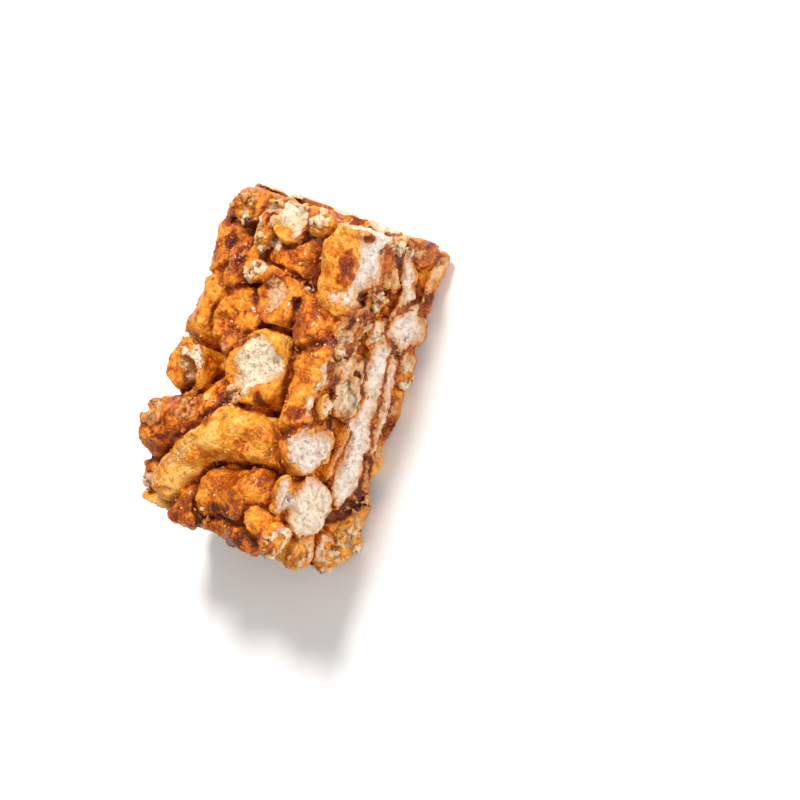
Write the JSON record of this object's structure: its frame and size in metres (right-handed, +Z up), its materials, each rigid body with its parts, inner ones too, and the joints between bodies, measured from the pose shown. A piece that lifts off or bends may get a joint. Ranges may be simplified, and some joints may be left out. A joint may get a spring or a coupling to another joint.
{
  "type": "sachima",
  "caption": "Rectangular block cut from a slab of puffed fried dough rolls bound by brown sugar syrup, lying flat with its knobbly broad face up and its cut rolls showing at the sides.",
  "frame": {"origin": "bottom centre of the block's box, on the surface that it lies on", "axes": "+X along the block's length, +Y across its width away from the cut side that the picture shows, +Z up through its thickness, out of the shown broad face"},
  "size_m": [0.075, 0.0426, 0.034],
  "materials": {
    "caramelised_dough": null
  },
  "bodies": {
    "root": {"sachima_block": "caramelised_dough"}
  },
  "joints": []
}
